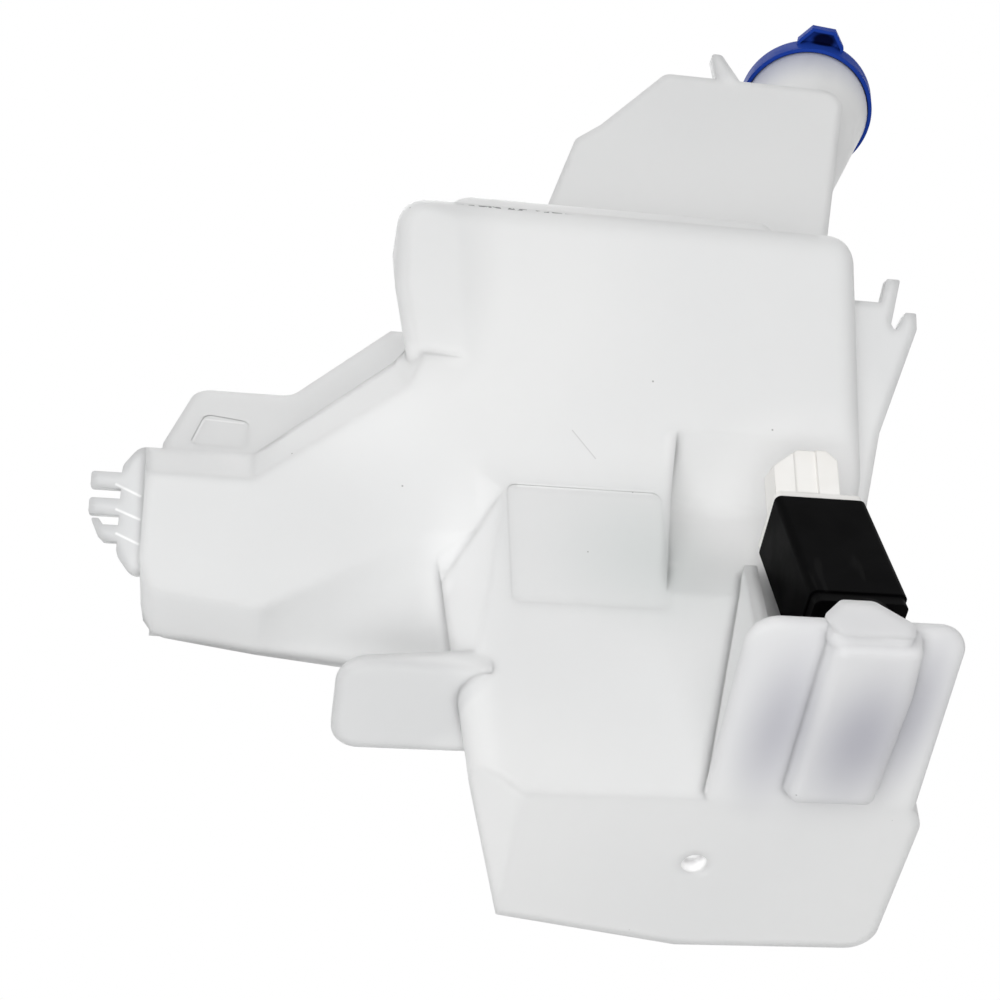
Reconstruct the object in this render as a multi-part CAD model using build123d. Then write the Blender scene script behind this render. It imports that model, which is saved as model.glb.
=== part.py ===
from build123d import *
import math
import os

# Windscreen washer fluid reservoir with its motor pump and filler cap.
# Frame: origin on the pump axis at the lowest point of the sump channel,
# +X to the filler neck side, +Y into the vehicle, +Z up. Millimetres.

os.makedirs("parts", exist_ok=True)

# Blow-moulded tank
WALL = 2.5
FLOOR_Z = 7.0
FOOT_Y = 41.8
LOWER_LEAN = 20.0
LOWER_HEIGHT = 103.0
UPPER_LEAN = 40.0
UPPER_HEIGHT = 72.5
CROWN_RISE = 13.0
CROWN_RUN = 7.0
ROOF_DEPTH = 91.0
ROOF_RISE = 18.0
BODY_DEPTH = 64.0
BACK_KNEE_HEIGHT = 55.0
BODY_RIGHT_X = 27.0
BODY_WIDTH = 138.6
SIDE_YAW = 16.7
BROW_OVERHANG = 21.5
TOE_WIDTH = 16.0
TOE_HEIGHT = 13.0
BACK_CORNER_LENGTH = 58.0
BACK_CORNER_DEPTH = 12.0
EDGE_R = 9.0
BROW_R = 12.0
CREASE_R = 40.0
REAR_ROOF_SETBACK = 4.0
REAR_ROOF_RISE = 17.0
REAR_ROOF_RIGHT_IN = 18.0
REAR_ROOF_LEFT_OUT = 2.5
REAR_ROOF_R = 5.0
REAR_ROOF_END_R = 8.0

# Bevel on the left edge of the lower front face
BEVEL_TOP_IN = 14.6
BEVEL_TOP_DROP = 4.3
BEVEL_FOOT_OUT = 1.1
BEVEL_FOOT_Z = 19.7
BEVEL_SIDE_OUT = 6.4
BEVEL_SIDE_DEPTH = 9.5
BEVEL_SIDE_Z = 75.0
BEVEL_PEAK_IN = 2.6
BEVEL_PEAK_RISE = 18.0

# Shallow panel pressed into the lower front face
PANEL_WIDTH = 51.0
PANEL_LEFT_IN = 15.6
PANEL_HEIGHT = 44.0
PANEL_TOP_DROP = 2.0
PANEL_DEPTH = 0.3
PANEL_LEAD = 3.0

# Pump pocket in the front of the tank
POCKET_WIDTH = 66.0
POCKET_TOP_Z = 125.5
POCKET_BACK_Y = 18.0
POCKET_CEILING_DROP = 8.0
POCKET_FOOT_Z = 55.0
POCKET_SIDE_LEAN = 8.0
POCKET_R = 6.0

# Shelf under the pump, sump channel and its keel and nose
SHELF_THICK = 4.0
SHELF_FRONT_Y = -26.4
SHELF_LEFT_X = -43.6
SHELF_RIGHT_X = 19.5
SHELF_SPLAY = 4.5
SHELF_CORNER_R = 9.0
CHANNEL_LEFT_X = -20.0
CHANNEL_RIGHT_X = 14.0
CHANNEL_TOP_Z = 18.0
CHANNEL_ROUND_Y = -14.0
CHANNEL_ROUND_R = 11.0
KEEL_LEFT_X = -20.0
KEEL_RIGHT_X = 7.5
KEEL_FRONT_LEFT_X = -21.5
KEEL_FRONT_RIGHT_X = 5.5
KEEL_TURN_Y = -6.0
KEEL_BACK_Y = 37.0
KEEL_DRAFT = 12.0
KEEL_R = 3.0
NOSE_LEFT_X = -22.5
NOSE_RIGHT_X = 2.1
NOSE_HEIGHT = 10.6
NOSE_THICK = 4.5
NOSE_LOW_Z = 1.8
NOSE_LEFT_SHOULDER = 3.5
NOSE_LEFT_RUN = 6.6
NOSE_RIGHT_RUN = 8.3
NOSE_RIGHT_SHOULDER = 1.1
NOSE_PROUD = 0.6
NOSE_TUCK = 1.0
CHEEK_TOP_Z = 84.0
CHEEK_LEAN_IN = 24.0
CHEEK_THICK = 4.0

# Side wing
WING_LENGTH = 98.0
WING_HEIGHT = 29.0
WING_FLOOR_Z = 77.0
WING_RIDGE_RUN = 33.0
WING_RIDGE_REACH = 16.5
WING_RIDGE_RISE = 26.5
WING_KEEL_RUN = 37.0
WING_KEEL_REACH = 9.0
WING_KEEL_RISE = 20.0
WING_CORNER = 8.0
CORNER_STEPS = 3
WING_BLEND_RISE = 8.0
WING_KEEL_DROP = 2.0
WING_SAG = 3.0
FACE_DEPTH = 14.0
BAND_RISE = 9.0
BAND_DROP = 8.0
BAND_OUT = 1.2
BAND_IN = 0.8
BAND_FLOOR_RISE = 1.0
BAND_SAG = 5.0
WING_ROOT = 16.0
WING_BACK_SLOPE = 60.0
WING_BACK_DEPTH = 8.0
BOX_FRONT_Y = 11.0
BOX_LENGTH = 94.0
BOX_TOP_Z = 160.5
BOX_LEAN = 9.0
BOX_R = 7.0
BOX_SHOULDER_Z = 127.0
BOX_FLAT = 32.0
BOX_RAMP_RISE = 49.0
BOX_RAMP_RUN = 36.0
BOX_PANEL_INSET = 8.0
BOX_PANEL_WIDTH = 19.0
BOX_PANEL_HEIGHT = 19.0
BOX_PANEL_DEPTH = 0.5
BOX_PANEL_DROP = 3.0
BOX_PANEL_R = 3.0

# Tower under the filler neck
TOWER_BASE_Y = -18.0
TOWER_BASE_Z = 205.0
TOWER_LEAN = 20.0
TOWER_DEPTH = 46.0
TOWER_WIDTH = 114.0
TOWER_RIGHT_X = 28.0
TOWER_HEIGHT = 109.0
TOWER_KNEE_RUN = 26.0
TOWER_KNEE_HEIGHT = 69.0
TOWER_SHOULDER_RUN = 37.0
TOWER_SHOULDER_HEIGHT = 78.0
TOWER_TOP_RUN = 66.0
TOWER_FLARE = 26.0
TOWER_CORNER = 7.0
TOWER_R = 6.0
FINGER_X = 4.0
FINGER_WIDTH = 4.5
FINGER_HEIGHT = 14.0
FINGER_SPREAD = 6.0
FINGER_THICK = 4.0

# Filler neck
NECK_TILT = 13.9
MOUTH_X = 56.3
MOUTH_Y = -32.0
MOUTH_Z = 359.0
NECK_TOP_R = 26.9
NECK_LOW_R = 11.0
NECK_CONE_LENGTH = 78.0
NECK_COLLAR = 10.0
MOUTH_R = 20.0
LIP_THICK = 3.0

# Filler cap and its seal
CAP_WALL = 1.6
CAP_SKIRT = 11.0
CAP_TOP_THICK = 2.0
CAP_GAP = 0.4
SEAT_GAP = 0.3
CAP_PLUG_WALL = 1.6
CAP_PLUG_DEPTH = 9.0
CAP_TAB_ROOT = 20.0
CAP_TAB_TIP = 10.0
CAP_TAB_REACH = 6.5
CAP_TAB_THICK = 5.0
CAP_TAB_WALL = 1.4
CAP_RIM_R = 0.8
SEAL_THICK = 1.4
SEAL_WIDTH = 4.0

# Fixing lug, locating dimple, hose hooks and side fork
LUG_Z = 43.0
LUG_LENGTH = 35.5
LUG_FRONT_Y = 27.0
LUG_WIDTH = 34.5
LUG_TIP_THICK = 3.0
LUG_ROOT_THICK = 9.0
LUG_CORNER_R = 9.0
LUG_EDGE_R = 1.0
DIMPLE_X = -39.0
DIMPLE_Y = 69.0
DIMPLE_R = 4.0
DIMPLE_DEPTH = 5.0
FIN_THICK = 3.5
LOBE_OUT = 8.0
LOBE_HEIGHT = 32.0
LOBE_CORNER = 5.0
LOBE_R = 5.0
HOOK_COUNT = 2
HOOK_PITCH = 6.6
HOOK_REACH = 9.5
HOOK_THICK = 4.1
HOOK_EDGE_R = 1.1
HOOK_FIRST_DROP = 6.8
CURL_REACH = 8.6
CURL_HEEL_REACH = 6.1
CURL_HEEL_RISE = 1.5
CURL_RISE = 1.5
CURL_WIDTH = 2.4
CURL_EDGE_R = 0.5
FORK_BASE_Z = 141.0
FORK_FOOT = 26.0
FORK_HEIGHT = 37.0
FORK_LENGTH = 25.5
FORK_PRONG = 5.0
FORK_PRONG_RISE = 7.0
FORK_SLOT_DEPTH = 15.0
FORK_SLOT_WIDTH = 3.0

# Motor case, end plate and connector
CASE_W = 30.0
CASE_D = 24.4
CASE_Z = 40.0
CASE_H = 47.4
CASE_WALL = 1.7
CASE_R = 2.2
PLATE_THICK = 2.6
PLATE_INSET = 0.4
PLATE_RING_WALL = 2.0
SHROUD_LEFT_IN = 0.8
SHROUD_W = 21.5
SHROUD_D = 9.6
SHROUD_LEAN = 31.0
SHROUD_H = 15.0
SHROUD_WALL = 1.5
SHROUD_GROOVE_W = 7.5
SHROUD_GROOVE_D = 0.8
SHROUD_LEFT_CUT = 8.5
SHROUD_LEFT_DROP = 6.5
SHROUD_RIGHT_CUT = 3.6
SHROUD_RIGHT_DROP = 3.2
TERMINAL_W = 6.3
TERMINAL_T = 0.8
TERMINAL_OUT = 10.0
TERMINAL_PITCH = 8.6

# Motor
CAN_R = 10.4
CAN_WALL = 1.0
CAN_H = 36.0
BOSS_H = 2.0
MAGNET_T = 1.9
MAGNET_H = 22.0
MAGNET_SPAN = 130.0
MAGNET_RISE = 5.0
SHAFT_R = 1.0
AIR_GAP = 0.35
CORE_H = 20.0
CORE_RISE = 6.2
CORE_SLOTS = 3
CORE_SLOT_W = 2.4
CORE_HUB_R = 3.0
WINDING_H = 2.4
WINDING_INSET = 0.8
COMMUTATOR_R = 2.8
COMMUTATOR_H = 4.5
COMMUTATOR_GAP = 1.2
BRUSH_W = 2.2
BRUSH_LENGTH = 2.6
BRUSH_H = 3.0
BRUSH_GAP = 0.05
ARM_THICK = 0.4
BEARING_R = 2.6
BEARING_H = 3.0
RUNNING_GAP = 0.03
HOLDER_THICK = 2.2

# Pump end
FLANGE_H = 4.0
FLANGE_INSET = 0.6
BOSS_GAP = 0.6
VOLUTE_R = 13.4
VOLUTE_H = 12.0
CHAMBER_R = 10.6
CHAMBER_H = 8.0
COVER_THICK = 3.0
COVER_LIP = 1.4
PRESS_GAP = 0.05
SPIGOT_R = 5.5
SPIGOT_BORE_R = 3.6
SPIGOT_LENGTH = 9.0
OUTLET_R = 3.0
OUTLET_BORE_R = 1.9
OUTLET_Y = 6.0
OUTLET_LENGTH = 12.0
OUTLET_TIP_CUT = 0.5
OUTLET_COLLAR_R = 4.4
OUTLET_COLLAR_LENGTH = 3.8
IMPELLER_GAP = 0.8
IMPELLER_H = 5.0
IMPELLER_DISC = 1.2
IMPELLER_HUB_R = 2.6
IMPELLER_VANES = 6
VANE_T = 1.2
SHAFT_SEAL_R = 3.6
SHAFT_SEAL_H = 2.6
SHAFT_HOLE_GAP = 0.4

# Grommet and strainer in the sump channel
GROMMET_R = 8.0
GROMMET_FLANGE = 1.6
GROMMET_LIP = 1.4
STRAINER_R = 4.2
STRAINER_DEPTH = 5.0
STRAINER_WALL = 0.8
STRAINER_RIM = 1.0
STRAINER_SLOTS = 8
STRAINER_SLOT_W = 1.4

# Values worked out from the above
CREASE_Z = FLOOR_Z + LOWER_HEIGHT
CREASE_Y = FOOT_Y - math.tan(math.radians(LOWER_LEAN)) * LOWER_HEIGHT
BROW_Z = CREASE_Z + UPPER_HEIGHT
BROW_Y = CREASE_Y - math.tan(math.radians(UPPER_LEAN)) * UPPER_HEIGHT
CROWN_Y = BROW_Y + CROWN_RUN
CROWN_Z = BROW_Z + CROWN_RISE
BACK_Y = FOOT_Y + BODY_DEPTH
BODY_LEFT_X = BODY_RIGHT_X - BODY_WIDTH
WING_LEFT_X = BODY_LEFT_X - WING_LENGTH
WING_TOP_Z = WING_FLOOR_Z + WING_HEIGHT
TOWER_LEFT_X = TOWER_RIGHT_X - TOWER_WIDTH
CHANNEL_FRONT_Y = SHELF_FRONT_Y + 1.0
CAN_Z = CASE_Z + BOSS_H
CASE_TOP_Z = CASE_Z + CASE_H
CORE_Z = CAN_Z + CORE_RISE
VOLUTE_Z = CASE_Z - FLANGE_H - VOLUTE_H
COVER_Z = VOLUTE_Z - COVER_THICK
SPIGOT_END_Z = COVER_Z - SPIGOT_LENGTH
IMPELLER_Z = VOLUTE_Z + COVER_LIP + IMPELLER_GAP
CORE_R = CAN_R - CAN_WALL - MAGNET_T - AIR_GAP
HOLDER_Z = CAN_Z + CAN_H
COMMUTATOR_Z = CORE_Z + CORE_H + WINDING_H + COMMUTATOR_GAP
BRUSH_Z = COMMUTATOR_Z + (COMMUTATOR_H - BRUSH_H) / 2
CAP_R = NECK_TOP_R + CAP_GAP + CAP_WALL
SEAL_Z = SEAT_GAP
CAP_TOP_Z = SEAL_Z + SEAL_THICK
OVERSIZE = 400.0


def upper_face_y(z):
    """Y of the sloping upper front face at height z."""
    return CREASE_Y - math.tan(math.radians(UPPER_LEAN)) * (z - CREASE_Z)


def lower_face_y(z):
    """Y of the lower front face at height z."""
    return FOOT_Y - math.tan(math.radians(LOWER_LEAN)) * (z - FLOOR_Z)


def side_wall_x(y):
    """X of the left side wall at depth y."""
    return BODY_LEFT_X + math.tan(math.radians(SIDE_YAW)) * (y - FOOT_Y)


def face_plane(setback=0.0):
    """Plane of the sloping upper front face, X along +X, normal out of the tank."""
    tilt = math.radians(UPPER_LEAN)
    outward = Vector(0, -math.cos(tilt), -math.sin(tilt))
    origin = Vector(0, CREASE_Y, CREASE_Z) - outward * setback
    return Plane(origin=origin, x_dir=(1, 0, 0), z_dir=outward)


def face_rise(z, setback=0.0):
    """Distance up the sloping face, or a plane set back from it, to height z."""
    tilt = math.radians(UPPER_LEAN)
    return (z - CREASE_Z - setback * math.sin(tilt)) / math.cos(tilt)


def lower_plane():
    """Plane of the lower front face, X along +X, normal out of the tank."""
    tilt = math.radians(LOWER_LEAN)
    outward = Vector(0, -math.cos(tilt), -math.sin(tilt))
    return Plane(origin=(0, CREASE_Y, CREASE_Z), x_dir=(1, 0, 0), z_dir=outward)


def facing(origin, direction):
    """Upright plane at origin with its normal along direction."""
    return Plane(origin=origin, x_dir=(1, 0, 0), z_dir=direction)


def side_plane(x):
    """Plane across the tank at x, in which a profile is drawn as Y and Z."""
    return Plane(origin=(x, 0, 0), x_dir=(0, 1, 0), z_dir=(1, 0, 0))


def polygon(points):
    """Face with straight edges through the points."""
    return make_face(Polyline(*points, close=True))


def shrunk(face, inset):
    """The face with its edges moved inward."""
    return offset(face, amount=-inset, kind=Kind.INTERSECTION) if inset else face


def cut_away(solid, origin, outward):
    """Keep the side of solid that lies behind a plane with the given outward normal."""
    return split(solid, bisect_by=Plane(origin=origin, z_dir=outward), keep=Keep.BOTTOM)


def plane_through(first, second, third, inside):
    """Unit normal of the plane through three points that points away from inside."""
    normal = (second - first).cross(third - first).normalized()
    return normal if normal.dot(inside - first) < 0 else normal * -1


def box_between(low, high):
    """Box from its lowest corner to its highest corner."""
    size = [b - a for a, b in zip(low, high)]
    middle = [(a + b) / 2 for a, b in zip(low, high)]
    return Pos(*middle) * Box(*size)


def disc(radius, low_z, height):
    """Upright disc on the pump axis."""
    return Pos(0, 0, low_z + height / 2) * Cylinder(radius, height)


def tube(outer_r, inner_r, low_z, height):
    """Upright tube on the pump axis."""
    return disc(outer_r, low_z, height) - disc(inner_r, low_z - 1, height + 2)


# Tank blocks. With an inset, a block gives the space inside the skin.


def front_profile(inset):
    """Side profile of the tank, drawn as Y and Z, with its brow and crease rounded."""
    roof_back = (CROWN_Y + ROOF_DEPTH, CROWN_Z + ROOF_RISE)
    profile = polygon(
        [
            (FOOT_Y, FLOOR_Z),
            (CREASE_Y, CREASE_Z),
            (BROW_Y, BROW_Z),
            (CROWN_Y, CROWN_Z),
            roof_back,
            (BACK_Y, FLOOR_Z + BACK_KNEE_HEIGHT),
            (BACK_Y, FLOOR_Z),
        ]
    )
    profile = shrunk(profile, inset)
    brow = profile.vertices().sort_by(Axis.X)[0:2]
    profile = fillet(brow, BROW_R - inset)
    crease = profile.vertices().sort_by_distance((CREASE_Y, CREASE_Z))[0]
    return fillet(crease, CREASE_R + inset)


def bevel_wedge(inset):
    """Corner taken off the left edge of the lower front face."""
    top_z = CREASE_Z - BEVEL_TOP_DROP
    top = Vector(BODY_LEFT_X + BEVEL_TOP_IN, lower_face_y(top_z), top_z)
    foot = Vector(BODY_LEFT_X - BEVEL_FOOT_OUT, lower_face_y(BEVEL_FOOT_Z), BEVEL_FOOT_Z)
    side_y = FOOT_Y - BEVEL_SIDE_DEPTH
    side = Vector(BODY_LEFT_X - BEVEL_SIDE_OUT, side_y, BEVEL_SIDE_Z)
    peak_z = CREASE_Z + BEVEL_PEAK_RISE
    peak = Vector(BODY_LEFT_X + BEVEL_PEAK_IN, upper_face_y(peak_z), peak_z)
    middle = Vector(0, FOOT_Y, CREASE_Z)
    bevel = plane_through(top, foot, side, middle)
    high_side = side + (top - foot) * 0.1
    ceiling = plane_through(top, peak, high_side, top - Vector(0, 0, CREASE_Z))
    block = Pos(*top) * Box(OVERSIZE, OVERSIZE, OVERSIZE)
    block = cut_away(block, top - bevel * inset, bevel * -1)
    return cut_away(block, top + ceiling * inset, ceiling)


def walled_block(inset, wall_x, yaw):
    """Body between the right wall and a left wall turned by yaw, with rounded rims."""
    left = BODY_LEFT_X - BODY_WIDTH
    width = BODY_RIGHT_X - inset - left
    block = extrude(side_plane(left) * front_profile(inset), width)
    turn = math.radians(yaw)
    outward = Vector(-math.cos(turn), math.sin(turn), 0)
    block = cut_away(block, Vector(wall_x, FOOT_Y, 0) - outward * inset, outward)
    right = block.faces().sort_by(Axis.X)[-1]
    left = block.faces().filter_by(lambda face: face.normal_at().dot(outward) > 0.999)[0]
    rim = right.edges() + left.edges()
    rim = rim.filter_by(lambda edge: edge.center().Z > FLOOR_Z + inset + 1)
    return fillet(rim, EDGE_R - inset)


def main_block(inset):
    """Body of the tank: its left wall runs outward to the front, then straight."""
    block = walled_block(inset, BODY_LEFT_X, SIDE_YAW)
    block = block & walled_block(inset, BODY_LEFT_X - BROW_OVERHANG, 0)
    toe = Vector(-TOE_HEIGHT, 0, -TOE_WIDTH).normalized()
    toe_point = Vector(BODY_LEFT_X + TOE_WIDTH, 0, FLOOR_Z) - toe * inset
    block = cut_away(block, toe_point, toe)
    corner = Vector(-BACK_CORNER_DEPTH, BACK_CORNER_LENGTH, 0).normalized()
    corner_x = BODY_LEFT_X + TOE_WIDTH + BACK_CORNER_LENGTH
    block = cut_away(block, Vector(corner_x, BACK_Y, 0) - corner * inset, corner)
    return block - bevel_wedge(inset)


def rear_roof(inset):
    """Raised rear half of the roof, which shows above the brow."""
    front_y = CROWN_Y + REAR_ROOF_SETBACK
    back_y = CROWN_Y + ROOF_DEPTH
    top = CROWN_Z + REAR_ROOF_RISE
    profile = polygon(
        [
            (front_y, CROWN_Z - WALL * 2),
            (front_y, top),
            (back_y, top + ROOF_RISE),
            (back_y + REAR_ROOF_RISE, CROWN_Z),
        ]
    )
    profile = shrunk(profile, inset)
    left = BODY_LEFT_X - REAR_ROOF_LEFT_OUT + inset
    width = BODY_WIDTH - REAR_ROOF_RIGHT_IN - 2 * inset
    block = extrude(side_plane(left) * profile, width)
    ends = block.edges().filter_by(Axis.Z).sort_by(Axis.Y)[0:2]
    block = fillet(ends, REAR_ROOF_END_R - inset)
    level = CROWN_Z + REAR_ROOF_RISE - WALL - 1
    tops = block.edges().filter_by(lambda edge: edge.center().Z > level)
    return fillet(tops, REAR_ROOF_R - inset)


def pocket_block(inset):
    """Space taken out of the front of the tank for the pump, open to the front and right."""
    back = POCKET_BACK_Y + inset
    top = POCKET_TOP_Z + inset
    lip_y = upper_face_y(POCKET_TOP_Z)
    profile = polygon(
        [
            (lip_y - OVERSIZE, top),
            (lip_y, top),
            (back, top - POCKET_CEILING_DROP),
            (back, POCKET_FOOT_Z),
            (lip_y - OVERSIZE, POCKET_FOOT_Z),
        ]
    )
    corner = profile.vertices().sort_by_distance((back, top))[0]
    profile = fillet(corner, POCKET_R + inset)
    block = extrude(side_plane(BODY_LEFT_X) * profile, BODY_WIDTH + POCKET_WIDTH)
    lean = math.radians(POCKET_SIDE_LEAN)
    outward = Vector(-math.cos(lean), 0, math.sin(lean))
    start = Vector(BODY_RIGHT_X - POCKET_WIDTH, 0, POCKET_TOP_Z) + outward * inset
    return cut_away(block, start, outward)


def rounded_corner(x, z):
    """Points of the wing's rounded lower left corner, from its foot up to its side."""
    angles = [math.radians(90 * step / CORNER_STEPS) for step in range(CORNER_STEPS, -1, -1)]
    bend = [(1 - math.cos(angle), 1 - math.sin(angle)) for angle in angles]
    return [(x + WING_CORNER * run, z + WING_CORNER * rise) for run, rise in bend]


def wing_front(inset):
    """Front half of the wing: the face widens back to the parting plane."""
    left = WING_LEFT_X
    right = BODY_LEFT_X + WING_ROOT
    top = WING_TOP_Z
    ridge_x = BODY_LEFT_X - WING_RIDGE_REACH
    blend_x = BODY_LEFT_X - BROW_OVERHANG + EDGE_R
    keel_x = BODY_LEFT_X - WING_KEEL_REACH
    face = [
        (left, top),
        (left + WING_RIDGE_RUN, top),
        (ridge_x, top + WING_RIDGE_RISE),
        (blend_x, top + WING_RIDGE_RISE + WING_BLEND_RISE),
        (right, top + WING_RIDGE_RISE + WING_BLEND_RISE),
        (right, WING_FLOOR_Z + WING_KEEL_RISE),
        (keel_x, WING_FLOOR_Z + WING_KEEL_RISE - WING_KEEL_DROP),
        (left + WING_KEEL_RUN, WING_FLOOR_Z - WING_SAG),
    ]
    rise = BAND_RISE + math.sin(math.radians(UPPER_LEAN)) * FACE_DEPTH
    parting = [
        (left - BAND_OUT, top + rise),
        (left + WING_RIDGE_RUN, top + rise),
        (ridge_x - BAND_RISE / 2, top + WING_RIDGE_RISE + rise),
        (blend_x, top + WING_RIDGE_RISE + WING_BLEND_RISE + rise),
        (right, top + WING_RIDGE_RISE + WING_BLEND_RISE + rise),
        (right, WING_FLOOR_Z - BAND_DROP + BAND_FLOOR_RISE),
        (keel_x, WING_FLOOR_Z - BAND_DROP + BAND_FLOOR_RISE),
        (left + WING_KEEL_RUN, WING_FLOOR_Z - BAND_DROP + BAND_SAG),
    ]
    face = face + rounded_corner(left, WING_FLOOR_Z)
    parting = parting + rounded_corner(left + BAND_IN, WING_FLOOR_Z)
    near = polygon([(x, face_rise(z)) for x, z in face])
    far = polygon([(x, face_rise(z, FACE_DEPTH)) for x, z in parting])
    near = face_plane(inset) * shrunk(near, inset)
    far = face_plane(FACE_DEPTH) * shrunk(far, inset)
    return loft([near, far], ruled=True)


def wing_rear(inset):
    """Rear half of the wing, which stands higher than the front half."""
    left = BODY_LEFT_X - BOX_LENGTH
    outline = polygon(
        [
            (left, WING_FLOOR_Z - BAND_DROP),
            (left, BOX_SHOULDER_Z),
            (left + BOX_LEAN, BOX_TOP_Z),
            (left + BOX_LEAN + BOX_FLAT, BOX_TOP_Z),
            (left + BOX_LEAN + BOX_FLAT + BOX_RAMP_RUN, BOX_TOP_Z + BOX_RAMP_RISE),
            (BODY_LEFT_X + WING_ROOT, BOX_TOP_Z + BOX_RAMP_RISE),
            (BODY_LEFT_X + WING_ROOT, WING_FLOOR_Z - BAND_DROP),
        ]
    )
    outline = shrunk(outline, inset)
    corners = outline.vertices().filter_by(lambda corner: corner.X < left + BOX_LEAN + BOX_FLAT + BOX_R)
    outline = fillet(corners, BOX_R - inset)
    parting = face_plane(FACE_DEPTH - 0.5)
    low_y = parting.origin.Y + math.tan(math.radians(UPPER_LEAN)) * (parting.origin.Z - WING_FLOOR_Z)
    depth = low_y + WING_BACK_DEPTH - BOX_FRONT_Y - 2 * inset
    front = facing((0, BOX_FRONT_Y + inset, 0), (0, -1, 0))
    block = extrude(front * outline, -depth)
    block = cut_away(block, parting.origin, parting.z_dir)
    slope = math.radians(WING_BACK_SLOPE)
    outward = Vector(0, math.sin(slope), -math.cos(slope))
    return cut_away(block, Vector(0, low_y, WING_FLOOR_Z) - outward * inset, outward)


def tower_plane(setback=0.0):
    """Front plane of the tower, which leans forward as it rises."""
    tilt = math.radians(TOWER_LEAN)
    outward = Vector(0, -math.cos(tilt), -math.sin(tilt))
    origin = Vector(0, TOWER_BASE_Y, TOWER_BASE_Z) - outward * setback
    return Plane(origin=origin, x_dir=(1, 0, 0), z_dir=outward)


def tower_rise(height):
    """Distance up the tower's front plane for a height over its base."""
    return height / math.cos(math.radians(TOWER_LEAN))


def tower_block(inset):
    """Flat tower that carries the filler neck."""
    root = -tower_rise(TOWER_DEPTH / 2)
    top_right = TOWER_RIGHT_X + TOWER_FLARE
    outline = polygon(
        [
            (TOWER_LEFT_X, root),
            (TOWER_LEFT_X, 0),
            (TOWER_LEFT_X + TOWER_KNEE_RUN, tower_rise(TOWER_KNEE_HEIGHT)),
            (TOWER_LEFT_X + TOWER_SHOULDER_RUN, tower_rise(TOWER_SHOULDER_HEIGHT)),
            (TOWER_LEFT_X + TOWER_TOP_RUN, tower_rise(TOWER_HEIGHT)),
            (top_right - TOWER_CORNER / 2, tower_rise(TOWER_HEIGHT)),
            (top_right, tower_rise(TOWER_HEIGHT - TOWER_CORNER)),
            (TOWER_RIGHT_X, 0),
            (TOWER_RIGHT_X, root),
        ]
    )
    outline = shrunk(outline, inset)
    corners = outline.vertices().filter_by(lambda corner: corner.Y > TOWER_R)
    outline = fillet(corners, TOWER_R - inset)
    return extrude(tower_plane(inset) * outline, -(TOWER_DEPTH - 2 * inset))


def neck_plane():
    """Plane of the filler mouth, X towards the front, normal along the neck."""
    tilt = math.radians(NECK_TILT)
    along = Vector(math.sin(tilt), 0, math.cos(tilt))
    return Plane(origin=(MOUTH_X, MOUTH_Y, MOUTH_Z), x_dir=(0, -1, 0), z_dir=along)


def neck_block(inset):
    """Filler neck: a collar over a funnel that runs down into the tower."""
    low = -NECK_COLLAR - NECK_CONE_LENGTH
    top = -LIP_THICK if inset else 0
    half = polygon(
        [
            (0, low),
            (NECK_LOW_R - inset, low),
            (NECK_TOP_R - inset, -NECK_COLLAR),
            (NECK_TOP_R - inset, top),
            (0, top),
        ]
    )
    neck = revolve(Plane.XZ * half, Axis.Z)
    if inset:
        neck = neck + Cylinder(MOUTH_R, LIP_THICK * 3)
    neck = neck_plane() * neck
    front = tower_plane(inset)
    return cut_away(neck, front.origin, front.z_dir)


def channel_block(inset):
    """Sump channel over and under the shelf, which leads to the pump inlet."""
    base = box_between(
        (CHANNEL_LEFT_X + inset, CHANNEL_ROUND_Y + inset, FLOOR_Z + inset),
        (CHANNEL_RIGHT_X - inset, FOOT_Y + WALL * 3, CHANNEL_TOP_Z - inset),
    )
    fronts = base.edges().filter_by(Axis.Z).sort_by(Axis.Y)[0:2]
    base = fillet(fronts, CHANNEL_ROUND_R - inset)
    outline = polygon(
        [
            (KEEL_FRONT_LEFT_X, -CHANNEL_FRONT_Y),
            (KEEL_LEFT_X, -KEEL_BACK_Y),
            (KEEL_RIGHT_X, -KEEL_BACK_Y),
            (KEEL_RIGHT_X, -KEEL_TURN_Y),
            (KEEL_FRONT_RIGHT_X, -CHANNEL_FRONT_Y),
        ]
    )
    top = Plane(origin=(0, 0, FLOOR_Z + inset), x_dir=(1, 0, 0), z_dir=(0, 0, -1))
    keel = extrude(top * shrunk(outline, inset), FLOOR_Z, taper=KEEL_DRAFT)
    if not inset:
        lower = keel.edges().filter_by(lambda edge: edge.center().Z < FLOOR_Z - 1)
        keel = fillet(lower, KEEL_R)
    return base + keel


def shelf_plate():
    """Flat shelf that the pump stands over."""
    back_y = FOOT_Y + WALL * 3
    outline = polygon(
        [
            (SHELF_LEFT_X, SHELF_FRONT_Y),
            (SHELF_RIGHT_X, SHELF_FRONT_Y),
            (SHELF_RIGHT_X + SHELF_SPLAY, back_y),
            (SHELF_LEFT_X + SHELF_SPLAY / 2, back_y),
        ]
    )
    outline = fillet(outline.vertices().sort_by(Axis.Y)[0:2], SHELF_CORNER_R)
    plate = Pos(0, 0, FLOOR_Z) * extrude(outline, SHELF_THICK)
    levels = plate.faces().sort_by(Axis.Z)
    rims = levels[0].edges() + levels[-1].edges()
    return fillet(rims, SHELF_THICK * 0.4)


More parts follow.
